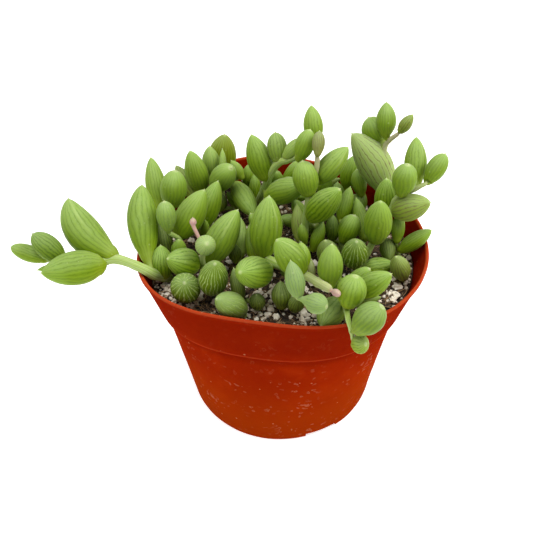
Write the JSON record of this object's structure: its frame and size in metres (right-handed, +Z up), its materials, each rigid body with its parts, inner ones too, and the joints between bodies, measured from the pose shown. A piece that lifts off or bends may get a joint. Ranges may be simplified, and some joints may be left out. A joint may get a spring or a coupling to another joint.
{
  "type": "potted string of watermelons",
  "caption": "Trailing succulent with plump striped leaves in a soft round nursery pot of gritty soil.",
  "frame": {"origin": "centre of the pot's flat underside, on the plane that the pot stands on", "axes": "+Z up along the pot's axis, -Y towards the pictured front, -X towards the stem that hangs out over the rim"},
  "size_m": [0.1509, 0.1082, 0.115],
  "materials": {
    "pot": "satin terracotta-coloured plastic",
    "soil": "loose peat with white perlite grains",
    "foliage": "fleshy striped leaves with a waxy bloom"
  },
  "bodies": {
    "root": {"pot": "pot", "soil": "soil", "shoot_back_left_inner": "foliage", "shoot_back_left_outer": "foliage", "shoot_back_middle": "foliage", "shoot_back_right": "foliage", "shoot_creeper": "foliage", "shoot_front_ball": "foliage", "shoot_front_left": "foliage", "shoot_front_middle": "foliage", "shoot_front_right": "foliage", "shoot_inner_front": "foliage", "shoot_inner_left": "foliage", "shoot_left_back": "foliage", "shoot_left_edge": "foliage", "shoot_left_low": "foliage", "shoot_left_middle": "foliage", "shoot_middle": "foliage", "shoot_middle_back": "foliage", "shoot_purple_bud": "foliage", "shoot_right": "foliage", "shoot_right_back": "foliage", "shoot_right_edge": "foliage", "shoot_right_low": "foliage", "shoot_right_middle": "foliage", "shoot_right_sprout": "foliage", "shoot_rosette_1": "foliage", "shoot_rosette_10": "foliage", "shoot_rosette_11": "foliage", "shoot_rosette_2": "foliage", "shoot_rosette_3": "foliage", "shoot_rosette_4": "foliage", "shoot_rosette_5": "foliage", "shoot_rosette_6": "foliage", "shoot_rosette_7": "foliage", "shoot_rosette_8": "foliage", "shoot_rosette_9": "foliage", "shoot_trailer_front": "foliage", "shoot_trailer_left": "foliage"}
  },
  "joints": []
}
